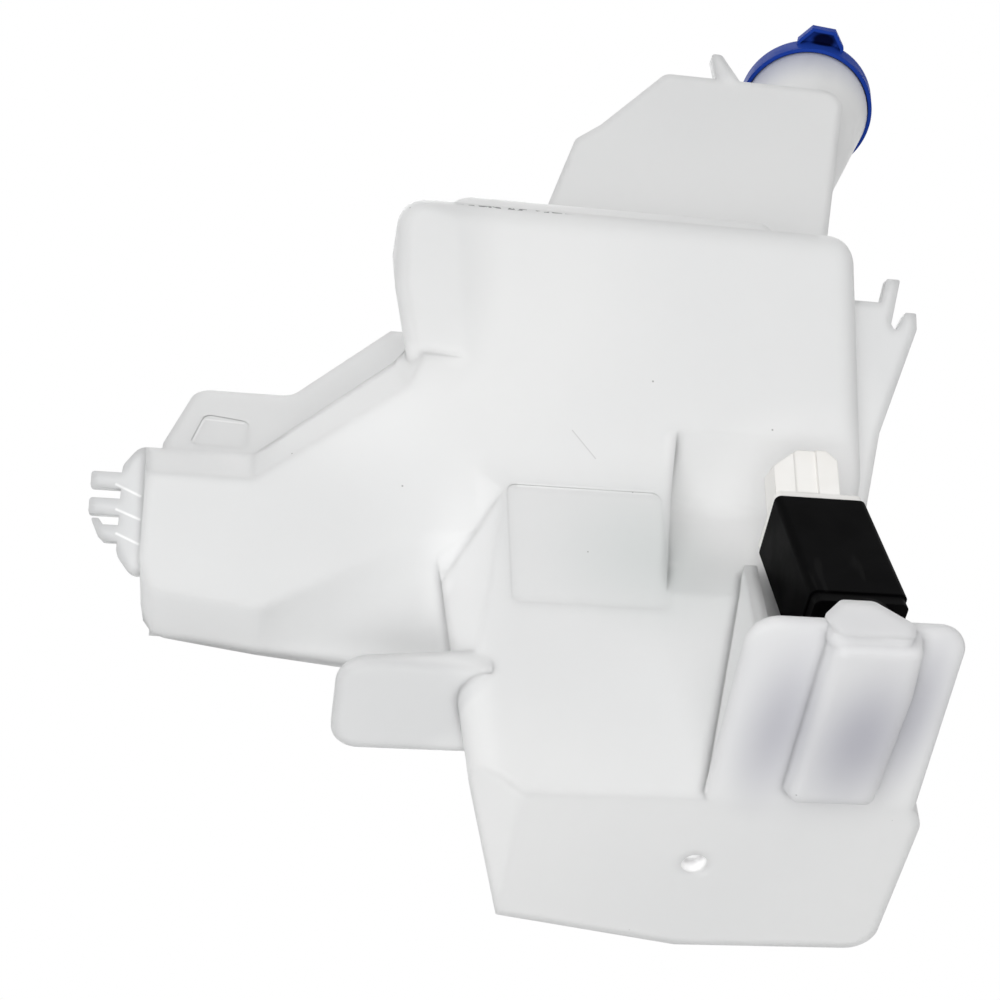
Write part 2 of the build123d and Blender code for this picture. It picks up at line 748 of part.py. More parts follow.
def nose_wall():
    """Upturned front end of the sump channel, in front of the pump."""
    left = NOSE_LEFT_X
    right = NOSE_RIGHT_X
    top = FLOOR_Z + NOSE_HEIGHT
    outline = polygon(
        [
            (left + NOSE_TUCK, NOSE_LOW_Z),
            (left, FLOOR_Z + NOSE_LEFT_SHOULDER),
            (left + NOSE_LEFT_RUN, top),
            (right - NOSE_RIGHT_RUN, top),
            (right + NOSE_RIGHT_SHOULDER, FLOOR_Z + NOSE_RIGHT_SHOULDER),
            (right - NOSE_TUCK, NOSE_LOW_Z),
        ]
    )
    outline = fillet(outline.vertices(), KEEL_R)
    front = facing((0, SHELF_FRONT_Y - NOSE_PROUD, 0), (0, -1, 0))
    return extrude(front * outline, -NOSE_THICK)


def cheek_wall():
    """Gusset wall from the left edge of the shelf up to the front of the tank."""
    foot_z = FLOOR_Z + SHELF_THICK / 2
    top = Vector(SHELF_LEFT_X + CHEEK_LEAN_IN, lower_face_y(CHEEK_TOP_Z), CHEEK_TOP_Z)
    back = Vector(SHELF_LEFT_X + SHELF_SPLAY / 2, FOOT_Y, foot_z)
    front = Vector(SHELF_LEFT_X + SHELF_CORNER_R / 2, SHELF_FRONT_Y + SHELF_CORNER_R, foot_z)
    side = [
        (SHELF_FRONT_Y + SHELF_CORNER_R, foot_z),
        (top.Y, CHEEK_TOP_Z),
        (top.Y + CHEEK_THICK, CHEEK_TOP_Z),
        (FOOT_Y + CHEEK_THICK, foot_z),
    ]
    slab = extrude(side_plane(SHELF_LEFT_X - 1) * polygon(side), CHEEK_LEAN_IN + CHEEK_THICK * 2)
    outer = plane_through(front, top, back, Vector(0, 0, 0))
    slab = cut_away(slab, front, outer)
    return cut_away(slab, front - outer * CHEEK_THICK, outer * -1)


def lug():
    """Horizontal wedge-shaped fixing lug on the left of the tank."""
    root_x = side_wall_x(LUG_FRONT_Y + LUG_WIDTH) + WALL
    tip_x = side_wall_x(LUG_FRONT_Y) - LUG_LENGTH + WALL
    section = polygon(
        [
            (tip_x, LUG_Z),
            (tip_x, LUG_Z + LUG_TIP_THICK),
            (root_x, LUG_Z + LUG_ROOT_THICK),
            (root_x, LUG_Z),
        ]
    )
    wedge = extrude(facing((0, LUG_FRONT_Y, 0), (0, -1, 0)) * section, -LUG_WIDTH)
    upright = wedge.edges().filter_by(Axis.Z).sort_by(Axis.X)[0:2]
    wedge = fillet(upright, LUG_CORNER_R)
    under = wedge.faces().sort_by(Axis.Z)[0].edges()
    under = under.filter_by(lambda edge: edge.center().X < root_x - 1)
    return fillet(under, LUG_EDGE_R)


def parting_fin(points, radius):
    """Flat fin on the parting plane, from corner points given as X and height."""
    outline = polygon([(x, face_rise(z, FACE_DEPTH)) for x, z in points])
    outline = fillet(outline.vertices(), radius)
    return extrude(face_plane(FACE_DEPTH) * outline, -FIN_THICK)


def hose_hooks():
    """Rounded end flange of the wing with its row of open hose hooks."""
    high = math.sin(math.radians(UPPER_LEAN)) * FACE_DEPTH
    top = WING_TOP_Z + BAND_RISE + high
    low = top - LOBE_HEIGHT
    lobe_x = WING_LEFT_X - LOBE_OUT
    flange = parting_fin(
        [
            (WING_LEFT_X + LOBE_CORNER, low),
            (lobe_x + LOBE_CORNER, low),
            (lobe_x, low + LOBE_CORNER),
            (lobe_x, top - LOBE_CORNER),
            (lobe_x + LOBE_CORNER, top),
            (WING_LEFT_X + LOBE_CORNER, top),
        ],
        LOBE_R,
    )
    root = lobe_x + LOBE_CORNER
    for index in range(HOOK_COUNT):
        z = top - HOOK_FIRST_DROP - index * HOOK_PITCH
        tip = lobe_x - HOOK_REACH
        corners = [(root, z - HOOK_THICK), (tip, z - HOOK_THICK), (tip, z), (root, z)]
        flange = flange + parting_fin(corners, HOOK_EDGE_R)
    z = top - HOOK_FIRST_DROP - HOOK_COUNT * HOOK_PITCH
    curl = lobe_x - CURL_REACH
    curled_hook = parting_fin(
        [
            (root, z - HOOK_THICK),
            (lobe_x - HOOK_THICK, z - HOOK_THICK),
            (lobe_x - CURL_HEEL_REACH, z - HOOK_THICK + CURL_HEEL_RISE),
            (curl, z + CURL_RISE),
            (curl + CURL_WIDTH, z + CURL_RISE),
            (curl + CURL_WIDTH + CURL_RISE, z),
            (root, z),
        ],
        CURL_EDGE_R,
    )
    return flange + curled_hook


def side_fork():
    """Fin on the right of the tank that ends in a two-pronged clip."""
    inner = BODY_RIGHT_X - WALL
    tip = BODY_RIGHT_X + FORK_LENGTH
    base = FORK_BASE_Z
    top = base + FORK_HEIGHT
    slot = tip - FORK_PRONG - FORK_SLOT_WIDTH
    return parting_fin(
        [
            (inner, base - FORK_FOOT),
            (BODY_RIGHT_X + FORK_LENGTH * 0.15, base - FORK_FOOT * 0.9),
            (BODY_RIGHT_X + FORK_LENGTH * 0.4, base),
            (tip, top - FORK_PRONG_RISE),
            (tip, top - FORK_PRONG_RISE / 3),
            (tip - FORK_PRONG + 1, top - FORK_PRONG_RISE / 3),
            (slot, top + FORK_PRONG_RISE - FORK_SLOT_DEPTH),
            (slot - FORK_SLOT_WIDTH / 2, top + FORK_PRONG_RISE - FORK_SLOT_DEPTH + 2),
            (slot + FORK_PRONG / 2, top + FORK_PRONG_RISE),
            (slot - FORK_PRONG / 2, top + FORK_PRONG_RISE),
            (slot - FORK_PRONG, top),
            (inner, top),
        ],
        0.7,
    )


def finger_tab():
    """Small fin that leans over the top edge of the tower."""
    low = tower_rise(TOWER_HEIGHT) - WALL
    top = low + WALL + tower_rise(FINGER_HEIGHT)
    half = FINGER_WIDTH / 2
    outline = polygon(
        [
            (FINGER_X - half, low),
            (FINGER_X - half - 1, top),
            (FINGER_X + half - 1, top),
            (FINGER_X + half + FINGER_SPREAD, low),
        ]
    )
    outline = fillet(outline.vertices().sort_by(Axis.Y)[-2:], half * 0.8)
    return extrude(tower_plane() * outline, -FINGER_THICK)


def front_panel():
    """Shallow rectangle pressed into the lower front face."""
    left = BODY_LEFT_X + PANEL_LEFT_IN
    top = -PANEL_TOP_DROP
    middle = (left + PANEL_WIDTH / 2, top - PANEL_HEIGHT / 2)
    outline = Pos(*middle) * RectangleRounded(PANEL_WIDTH, PANEL_HEIGHT, KEEL_R)
    sunk = lower_plane().offset(-PANEL_DEPTH)
    return extrude(sunk * outline, PANEL_LEAD)


def box_panel():
    """Shallow panel pressed into the front of the wing's rear half."""
    left = BODY_LEFT_X - BOX_LENGTH + BOX_PANEL_INSET
    low = BOX_SHOULDER_Z
    outline = polygon(
        [
            (left, low),
            (left + BOX_PANEL_WIDTH, low),
            (left + BOX_PANEL_WIDTH, low + BOX_PANEL_HEIGHT - BOX_PANEL_DROP),
            (left + BOX_LEAN / 2, low + BOX_PANEL_HEIGHT),
        ]
    )
    outline = fillet(outline.vertices(), BOX_PANEL_R)
    return extrude(facing((0, BOX_FRONT_Y, 0), (0, -1, 0)) * outline, -BOX_PANEL_DEPTH)


def make_reservoir():
    """The blow-moulded tank in one piece, hollow throughout."""
    skin = main_block(0) - pocket_block(0)
    skin = skin + wing_front(0) + wing_rear(0)
    skin = skin + rear_roof(0) + tower_block(0) + neck_block(0)
    skin = skin + shelf_plate() + channel_block(0) + nose_wall() + cheek_wall()
    skin = skin + lug() + hose_hooks() + side_fork() + finger_tab()
    space = main_block(WALL) - pocket_block(WALL)
    space = space + wing_front(WALL) + wing_rear(WALL)
    space = space + rear_roof(WALL) + tower_block(WALL) + neck_block(WALL)
    space = space + channel_block(WALL)
    dimple = Pos(DIMPLE_X, DIMPLE_Y, FLOOR_Z) * Cylinder(
        DIMPLE_R, DIMPLE_DEPTH, align=(Align.CENTER, Align.CENTER, Align.MIN)
    )
    boss = Pos(DIMPLE_X, DIMPLE_Y, FLOOR_Z) * Cylinder(
        DIMPLE_R + WALL, DIMPLE_DEPTH + WALL, align=(Align.CENTER, Align.CENTER, Align.MIN)
    )
    tank = skin - (space - boss) - dimple - front_panel() - box_panel()
    return tank - disc(GROMMET_R, CHANNEL_TOP_Z - WALL - 1, WALL + 2)


# Filler cap


def make_filler_cap():
    """Snap-on cap with a finger tab at the front and a plug in the mouth."""
    skirt_low = CAP_TOP_Z + CAP_TOP_THICK - CAP_SKIRT
    shell = Pos(0, 0, skirt_low + CAP_SKIRT / 2) * Cylinder(CAP_R, CAP_SKIRT)
    tab = polygon(
        [
            (0, -CAP_TAB_ROOT / 2),
            (CAP_R, -CAP_TAB_ROOT / 2),
            (CAP_R + CAP_TAB_REACH, -CAP_TAB_TIP / 2),
            (CAP_R + CAP_TAB_REACH, CAP_TAB_TIP / 2),
            (CAP_R, CAP_TAB_ROOT / 2),
            (0, CAP_TAB_ROOT / 2),
        ]
    )
    tab_low = CAP_TOP_Z + CAP_TOP_THICK - CAP_TAB_THICK
    tab_solid = Pos(0, 0, tab_low) * extrude(tab, CAP_TAB_THICK)
    hollow = Pos(0, 0, tab_low - 1) * extrude(shrunk(tab, CAP_TAB_WALL), CAP_TAB_THICK - CAP_TAB_WALL + 1)
    shell = shell + tab_solid - hollow
    shell = shell + Pos(0, 0, skirt_low + CAP_SKIRT / 2) * (
        Cylinder(CAP_R, CAP_SKIRT) - Cylinder(CAP_R - CAP_WALL, CAP_SKIRT)
    )
    bore_h = CAP_SKIRT - CAP_TOP_THICK
    shell = shell - Pos(0, 0, skirt_low + bore_h / 2) * Cylinder(CAP_R - CAP_WALL, bore_h)
    crown = shell.faces().sort_by(Axis.Z)[-1].edges()
    shell = fillet(crown, CAP_RIM_R)
    plug_r = MOUTH_R - CAP_GAP
    plug = Cylinder(plug_r, CAP_PLUG_DEPTH) - Cylinder(plug_r - CAP_PLUG_WALL, CAP_PLUG_DEPTH)
    shell = shell + Pos(0, 0, CAP_TOP_Z - CAP_PLUG_DEPTH / 2) * plug
    return neck_plane() * shell


def make_cap_seal():
    """Flat rubber ring under the cap, over the lip of the neck."""
    inner = MOUTH_R + CAP_GAP
    ring = Cylinder(inner + SEAL_WIDTH, SEAL_THICK) - Cylinder(inner, SEAL_THICK)
    return neck_plane() * (Pos(0, 0, SEAL_Z + SEAL_THICK / 2) * ring)


# Motor case and connector


def case_block(grow, low_z, height, radius):
    """Rectangular block round the pump axis with rounded upright edges."""
    outline = RectangleRounded(CASE_W + 2 * grow, CASE_D + 2 * grow, radius)
    return Pos(0, 0, low_z) * extrude(outline, height)


def make_motor_case():
    """Square black sleeve round the motor."""
    block = case_block(0, CASE_Z, CASE_H, CASE_R)
    top = block.faces().sort_by(Axis.Z)[-1].edges()
    block = fillet(top, CASE_R * 0.4)
    return block - case_block(-CASE_WALL, CASE_Z - 1, CASE_H + 2, CASE_R * 0.4)


def shroud_plane():
    """Front plane of the leaning connector: X along +X, Y up the lean, normal to the front."""
    lean = math.radians(SHROUD_LEAN)
    outward = Vector(0, -math.cos(lean), -math.sin(lean))
    front = Vector(-CASE_W / 2 + SHROUD_LEFT_IN, PLATE_INSET - CASE_D / 2, CASE_TOP_Z + PLATE_THICK)
    return Plane(origin=front, x_dir=(1, 0, 0), z_dir=outward)


def connector_shroud():
    """Open shroud of the connector, with cut corners and a groove down its front."""
    root = -SHROUD_H
    outline = polygon(
        [
            (0, root),
            (0, SHROUD_H - SHROUD_LEFT_DROP),
            (SHROUD_LEFT_CUT, SHROUD_H),
            (SHROUD_W - SHROUD_RIGHT_CUT, SHROUD_H),
            (SHROUD_W, SHROUD_H - SHROUD_RIGHT_DROP),
            (SHROUD_W, root),
        ]
    )
    shroud = extrude(outline, -SHROUD_D)
    inner_w = SHROUD_W - 2 * SHROUD_WALL
    mouth = box_between(
        (SHROUD_WALL, SHROUD_WALL, SHROUD_WALL - SHROUD_D),
        (SHROUD_WALL + inner_w, SHROUD_H + 1, -SHROUD_WALL),
    )
    middle = SHROUD_W / 2
    groove = box_between(
        (middle - SHROUD_GROOVE_W / 2, root, -SHROUD_GROOVE_D),
        (middle + SHROUD_GROOVE_W / 2, SHROUD_H + 1, 1),
    )
    shroud = shroud_plane() * (shroud - mouth - groove)
    return cut_away(shroud, (0, 0, CASE_TOP_Z + PLATE_THICK / 2), (0, 0, -1))


def make_connector_plate():
    """Pale end plate of the motor with the connector on it."""
    plate = case_block(-PLATE_INSET, CASE_TOP_Z, PLATE_THICK, CASE_R)
    ring_z = HOLDER_Z + HOLDER_THICK
    plate = plate + tube(CAN_R, CAN_R - PLATE_RING_WALL, ring_z, CASE_TOP_Z - ring_z)
    plate = plate + connector_shroud()
    return plate - make_terminal(-1) - make_terminal(1)


def make_terminal(side):
    """Bent terminal blade, from the brush holder up into the leaning connector."""
    left = SHROUD_W / 2 + side * TERMINAL_PITCH / 2 - TERMINAL_W / 2
    deep = -SHROUD_D / 2
    low = (left, 0, deep - TERMINAL_T / 2)
    high = (left + TERMINAL_W, TERMINAL_OUT, deep + TERMINAL_T / 2)
    blade = shroud_plane() * box_between(low, high)
    foot = shroud_plane().from_local_coords(Vector(left, 0, deep))
    leg = box_between(
        (foot.X, foot.Y - TERMINAL_T / 2, HOLDER_Z + HOLDER_THICK),
        (foot.X + TERMINAL_W, foot.Y + TERMINAL_T / 2, foot.Z + TERMINAL_T / 2),
    )
    return blade + leg


# Motor


def make_motor_can():
    """Steel can of the motor with a hole for the lower bearing."""
    can = disc(CAN_R, CAN_Z, CAN_H) - disc(CAN_R - CAN_WALL, CAN_Z + CAN_WALL, CAN_H)
    return can - disc(BEARING_R, CAN_Z - 1, CAN_WALL + 2)


def make_magnet(side):
    """Curved magnet on the inside of the can."""
    outer = CAN_R - CAN_WALL
    ring = tube(outer, outer - MAGNET_T, CAN_Z + MAGNET_RISE, MAGNET_H)
    half = math.radians(MAGNET_SPAN / 2)
    reach = CAN_R * 2
    wedge = polygon(
        [
            (0, 0),
            (reach * math.cos(half), reach * math.sin(half)),
            (reach, reach * math.sin(half)),
            (reach, -reach * math.sin(half)),
            (reach * math.cos(half), -reach * math.sin(half)),
        ]
    )
    sector = Pos(0, 0, CAN_Z) * extrude(wedge, CAN_H)
    return Rot(0, 0, 90 + 90 * side) * (ring & sector)


def make_armature_core():
    """Laminated three-pole core of the rotor."""
    core = tube(CORE_R, SHAFT_R, CORE_Z, CORE_H)
    slot_length = CORE_R - CORE_HUB_R
    for index in range(CORE_SLOTS):
        slot = box_between(
            (CORE_HUB_R, -CORE_SLOT_W / 2, CORE_Z - 1),
            (CORE_HUB_R + slot_length + 1, CORE_SLOT_W / 2, CORE_Z + CORE_H + 1),
        )
        core = core - Rot(0, 0, index * 360 / CORE_SLOTS) * slot
    return core


def make_winding():
    """Copper winding: filled slots and an end turn above and below the core."""
    outer = CORE_R - WINDING_INSET
    copper = tube(outer, SHAFT_R + WINDING_INSET, CORE_Z - WINDING_H, WINDING_H)
    copper = copper + tube(outer, SHAFT_R + WINDING_INSET, CORE_Z + CORE_H, WINDING_H)
    for index in range(CORE_SLOTS):
        filled = box_between(
            (CORE_HUB_R, -CORE_SLOT_W / 2, CORE_Z),
            (outer - WINDING_INSET, CORE_SLOT_W / 2, CORE_Z + CORE_H),
        )
        copper = copper + Rot(0, 0, index * 360 / CORE_SLOTS) * filled
    return copper


def make_commutator():
    """Commutator on the motor shaft."""
    return tube(COMMUTATOR_R, SHAFT_R, COMMUTATOR_Z, COMMUTATOR_H)


def make_motor_shaft():
    """Steel shaft from the impeller to the upper bearing."""
    low = IMPELLER_Z
    return disc(SHAFT_R, low, HOLDER_Z + HOLDER_THICK - low)


def make_bearing(low_z):
    """Plain sleeve bearing."""
    return tube(BEARING_R, SHAFT_R + RUNNING_GAP, low_z, BEARING_H)


def brush_x():
    """Distance of the inner end of a brush from the axis."""
    return COMMUTATOR_R + BRUSH_GAP


def make_brush(side):
    """Carbon brush against the commutator."""
    block = box_between(
        (brush_x(), -BRUSH_W / 2, BRUSH_Z),
        (brush_x() + BRUSH_LENGTH, BRUSH_W / 2, BRUSH_Z + BRUSH_H),
    )
    return Rot(0, 0, 90 - 90 * side) * block


def make_brush_arm(side):
    """Leaf spring that hangs from the holder and presses the brush."""
    start = brush_x() + BRUSH_LENGTH
    leaf = box_between(
        (start, -BRUSH_W / 2, BRUSH_Z),
        (start + ARM_THICK, BRUSH_W / 2, HOLDER_Z),
    )
    return Rot(0, 0, 90 - 90 * side) * leaf


def make_brush_holder():
    """Plastic disc that closes the can and carries the upper bearing."""
    return tube(CAN_R, BEARING_R, HOLDER_Z, HOLDER_THICK)


# Pump end


def make_pump_body():
    """Black pump housing under the motor, with the outlet nozzle on the right."""
    flange_z = CASE_Z - FLANGE_H
    body = case_block(-FLANGE_INSET, flange_z, FLANGE_H, CASE_R)
    body = body + disc(CAN_R - CAN_WALL, CASE_Z, BOSS_H)
    body = body + disc(VOLUTE_R, VOLUTE_Z, VOLUTE_H)
    outlet_z = VOLUTE_Z + CHAMBER_H / 2 + COVER_LIP / 2
    reach = VOLUTE_R + OUTLET_LENGTH
    upright = (Align.CENTER, Align.CENTER, Align.MIN)
    nozzle = Cylinder(OUTLET_R, reach - OUTLET_TIP_CUT, align=upright)
    tip = Cone(OUTLET_R, OUTLET_R - OUTLET_TIP_CUT, OUTLET_TIP_CUT, align=upright)
    nozzle = nozzle + Pos(0, 0, reach - OUTLET_TIP_CUT) * tip
    nozzle = nozzle + Cylinder(OUTLET_COLLAR_R, VOLUTE_R + OUTLET_COLLAR_LENGTH, align=upright)
    place = Pos(0, OUTLET_Y, outlet_z) * Rot(0, 90, 0)
    body = body + place * nozzle
    body = body - disc(CHAMBER_R, VOLUTE_Z - 1, CHAMBER_H + 1)
    body = body - place * Cylinder(OUTLET_BORE_R, reach + 1, align=upright)
    body = body - disc(SHAFT_R + SHAFT_HOLE_GAP, VOLUTE_Z, CASE_Z + BOSS_H - VOLUTE_Z + 1)
    body = body - disc(SHAFT_SEAL_R, flange_z, SHAFT_SEAL_H)
    return body - disc(BEARING_R + BOSS_GAP, CASE_Z, BOSS_H + 1)


def make_shaft_seal():
    """Rubber lip seal round the shaft, in the floor of the flange."""
    return tube(SHAFT_SEAL_R, SHAFT_R + RUNNING_GAP, CASE_Z - FLANGE_H, SHAFT_SEAL_H)


def make_impeller():
    """Impeller with straight vanes under a disc."""
    radius = CHAMBER_R - IMPELLER_GAP
    top = IMPELLER_Z + IMPELLER_H
    wheel = disc(radius, top - IMPELLER_DISC, IMPELLER_DISC)
    wheel = wheel + disc(IMPELLER_HUB_R, IMPELLER_Z, IMPELLER_H)
    for index in range(IMPELLER_VANES):
        vane = box_between((0, -VANE_T / 2, IMPELLER_Z), (radius - VANE_T / 2, VANE_T / 2, top))
        wheel = wheel + Rot(0, 0, index * 360 / IMPELLER_VANES) * vane
    return wheel - disc(SHAFT_R, IMPELLER_Z - 1, IMPELLER_H + 2)


def make_pump_cover():
    """Bottom cover of the pump with the inlet spigot."""
    cover = disc(VOLUTE_R, COVER_Z, COVER_THICK)
    cover = cover + disc(CHAMBER_R - PRESS_GAP, VOLUTE_Z, COVER_LIP)
    cover = cover + disc(SPIGOT_R, SPIGOT_END_Z, SPIGOT_LENGTH)
    return cover - disc(SPIGOT_BORE_R, SPIGOT_END_Z - 1, SPIGOT_LENGTH + COVER_THICK + COVER_LIP + 2)


def make_inlet_grommet():
    """Rubber grommet between the tank and the inlet spigot."""
    inner_z = CHANNEL_TOP_Z - WALL
    grommet = disc(GROMMET_R, inner_z, WALL)
    grommet = grommet + disc(GROMMET_R + GROMMET_FLANGE, CHANNEL_TOP_Z, COVER_Z - CHANNEL_TOP_Z)
    grommet = grommet + disc(GROMMET_R + GROMMET_LIP, inner_z - GROMMET_LIP, GROMMET_LIP)
    return grommet - disc(SPIGOT_R, inner_z - GROMMET_LIP - 1, COVER_Z - inner_z + GROMMET_LIP + 2)


def make_inlet_strainer():
    """Slotted basket under the inlet spigot."""
    low = SPIGOT_END_Z - STRAINER_DEPTH
    basket = disc(STRAINER_R, low, STRAINER_DEPTH)
    basket = basket + disc(SPIGOT_R, SPIGOT_END_Z - STRAINER_RIM, STRAINER_RIM)
    basket = basket - disc(STRAINER_R - STRAINER_WALL, low + STRAINER_WALL, STRAINER_DEPTH)
    for index in range(STRAINER_SLOTS // 2):
        slot = box_between(
            (-SPIGOT_R, -STRAINER_SLOT_W / 2, low + STRAINER_WALL * 2),
            (SPIGOT_R, STRAINER_SLOT_W / 2, SPIGOT_END_Z - STRAINER_RIM - STRAINER_WALL),
        )
        basket = basket - Rot(0, 0, index * 360 / STRAINER_SLOTS) * slot
    return basket


PARTS = {
    "reservoir_shell": make_reservoir,
    "filler_cap": make_filler_cap,
    "cap_seal": make_cap_seal,
    "motor_case": make_motor_case,
    "connector_plate": make_connector_plate,
    "terminal_left": lambda: make_terminal(-1),
    "terminal_right": lambda: make_terminal(1),
    "motor_can": make_motor_can,
    "magnet_left": lambda: make_magnet(1),
    "magnet_right": lambda: make_magnet(-1),
    "armature_core": make_armature_core,
    "armature_winding": make_winding,
    "commutator": make_commutator,
    "motor_shaft": make_motor_shaft,
    "lower_bearing": lambda: make_bearing(CAN_Z),
    "upper_bearing": lambda: make_bearing(HOLDER_Z + HOLDER_THICK - BEARING_H),
    "brush_left": lambda: make_brush(-1),
    "brush_right": lambda: make_brush(1),
    "brush_arm_left": lambda: make_brush_arm(-1),
    "brush_arm_right": lambda: make_brush_arm(1),
    "brush_holder": make_brush_holder,
    "pump_body": make_pump_body,
    "shaft_seal": make_shaft_seal,
    "impeller": make_impeller,
    "pump_cover": make_pump_cover,
    "inlet_grommet": make_inlet_grommet,
    "inlet_strainer": make_inlet_strainer,
}

for name, make in PARTS.items():
    export_step(make(), f"parts/{name}.step")
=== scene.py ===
import bpy
from mathutils import Matrix, Vector


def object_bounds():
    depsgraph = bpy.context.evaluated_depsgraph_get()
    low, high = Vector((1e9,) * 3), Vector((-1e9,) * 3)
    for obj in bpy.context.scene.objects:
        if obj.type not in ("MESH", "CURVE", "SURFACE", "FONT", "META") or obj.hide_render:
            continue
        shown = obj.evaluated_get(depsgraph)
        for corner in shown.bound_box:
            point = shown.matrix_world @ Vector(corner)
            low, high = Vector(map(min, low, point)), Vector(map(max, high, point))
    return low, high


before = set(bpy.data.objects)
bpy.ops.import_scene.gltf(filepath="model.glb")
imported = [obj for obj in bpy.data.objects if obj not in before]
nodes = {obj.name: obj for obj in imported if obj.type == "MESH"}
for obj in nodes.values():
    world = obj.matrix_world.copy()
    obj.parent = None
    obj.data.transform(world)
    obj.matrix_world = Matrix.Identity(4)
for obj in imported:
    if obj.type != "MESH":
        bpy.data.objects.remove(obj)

MM = 0.001
CAD_BOX = [list(corner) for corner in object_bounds()]
scene = bpy.context.scene


def metres(place):
    """A place or length in millimetres turned into metres."""
    return tuple(value * MM for value in place)


# Materials: every finish is a small node tree on Object coordinates


class Finish:
    """A material under construction, with short calls for the nodes it uses."""

    def __init__(self, name):
        self.material = bpy.data.materials.new(name)
        self.material.use_nodes = True
        self.tree = self.material.node_tree
        self.tree.nodes.clear()
        self.output = self.add("ShaderNodeOutputMaterial")
        self.place = self.add("ShaderNodeTexCoord").outputs["Object"]

    def add(self, kind, inputs=None, **settings):
        """A node with its settings, its inputs given by name or number as values or links."""
        node = self.tree.nodes.new(kind)
        for key, value in settings.items():
            setattr(node, key, value)
        for key, value in (inputs or {}).items():
            self.fill(node.inputs[key], value)
        return node

    def fill(self, socket, value):
        """A value or a link on a socket."""
        if isinstance(value, bpy.types.NodeSocket):
            self.tree.links.new(value, socket)
        else:
            socket.default_value = value

    def calculate(self, operation, *values, clamp=False):
        """A Math node's result."""
        node = self.add("ShaderNodeMath", dict(enumerate(values)), operation=operation, use_clamp=clamp)
        return node.outputs[0]

    def vector(self, operation, inputs, output="Vector"):
        """A Vector Math node's result."""
        return self.add("ShaderNodeVectorMath", inputs, operation=operation).outputs[output]

    def noise(self, scale, detail=2.0, place=None, distortion=0.0):
        """Noise value at a scale given in repeats a metre."""
        inputs = {"Vector": place or self.place, "Scale": scale, "Detail": detail, "Distortion": distortion}
        return self.add("ShaderNodeTexNoise", inputs).outputs["Fac"]

    def stretch(self, value, low, high, to_low=0.0, to_high=1.0):
        """A value taken from one range to another with soft ends."""
        inputs = {"Value": value, "From Min": low, "From Max": high, "To Min": to_low, "To Max": to_high}
        node = self.add("ShaderNodeMapRange", inputs, interpolation_type="SMOOTHSTEP", clamp=True)
        return node.outputs["Result"]

    def blend(self, share, low, high):
        """Two colours mixed by a share."""
        node = self.add("ShaderNodeMix", {0: share}, data_type="RGBA")
        for index, colour in ((6, low), (7, high)):
            is_link = isinstance(colour, bpy.types.NodeSocket)
            self.fill(node.inputs[index], colour if is_link else (*colour, 1.0))
        return node.outputs[2]

    def scaled(self, factors):
        """Coordinates multiplied along each axis, so that a pattern runs one way."""
        return self.vector("MULTIPLY", {0: self.place, 1: factors})

    def spot(self, centre, size, soft=1.0, strength=1.0):
        """Its strength in the middle of an oval patch given in millimetres, fading to 0 at its rim."""
        inverse = tuple(1.0 / length for length in metres(size))
        shift = tuple(-value * factor for value, factor in zip(metres(centre), inverse))
        place = self.vector("MULTIPLY_ADD", {0: self.place, 1: inverse, 2: shift})
        distance = self.vector("LENGTH", {0: place}, "Value")
        return self.stretch(distance, 1.0 - soft, 1.0, strength, 0.0)

    def line(self, start, end, width, strength=1.0):
        """Its strength on a straight line given in millimetres, fading out over its half width."""
        reach = Vector(metres(end)) - Vector(metres(start))
        away = self.vector("SUBTRACT", {0: self.place, 1: metres(start)})
        along = self.vector("DOT_PRODUCT", {0: away, 1: tuple(reach / reach.length_squared)}, "Value")
        part = self.calculate("ADD", along, 0.0, clamp=True)
        foot = self.vector("SCALE", {0: tuple(reach), "Scale": part})
        gap = self.vector("DISTANCE", {0: away, 1: foot}, "Value")
        return self.stretch(gap, 0.0, width * MM, strength, 0.0)

    def bump(self, height, strength, distance, normal=None):
        """Normal from a height."""
        inputs = {"Height": height, "Strength": strength, "Distance": distance}
        if normal is not None:
            inputs["Normal"] = normal
        return self.add("ShaderNodeBump", inputs).outputs["Normal"]

    def rounded(self, radius):
        """Normal that softens the edges of a hard-edged mesh, with a radius in millimetres."""
        return self.add("ShaderNodeBevel", {"Radius": radius * MM}, samples=2).outputs["Normal"]

    def finish(self, **inputs):
        """The shader with its inputs, joined to the output."""
        named = {key.replace("_", " "): value for key, value in inputs.items()}
        shader = self.add("ShaderNodeBsdfPrincipled", named)
        self.tree.links.new(shader.outputs[0], self.output.inputs[0])
        return self.material


# The tank's natural plastic. Places and sizes are in millimetres

PLASTIC_DARK = (0.79, 0.795, 0.795)
PLASTIC_LIGHT = (0.825, 0.828, 0.825)
# Painted light: white laid on where light falls or shines through
PAINTED_LIGHT = (0.96, 0.96, 0.96)
# Painted shade colours for the darker patches
PAINTED_DEEP_SHADE = (0.6, 0.64, 0.63)
PAINTED_PALE_SHADE = (0.67, 0.675, 0.675)
PAINTED_COOL_SHADE = (0.67, 0.67, 0.7)
PAINTED_GREY_SHADE = (0.6, 0.605, 0.61)
PUMP_SHADE = (0.33, 0.33, 0.39)
CAP_SHADE = (0.22, 0.24, 0.38)
SCRATCH = (0.3, 0.3, 0.3)
SPECK = (0.2, 0.2, 0.19)
DIRT_AND_PAINTED_SHADE = (0.08, 0.08, 0.08)
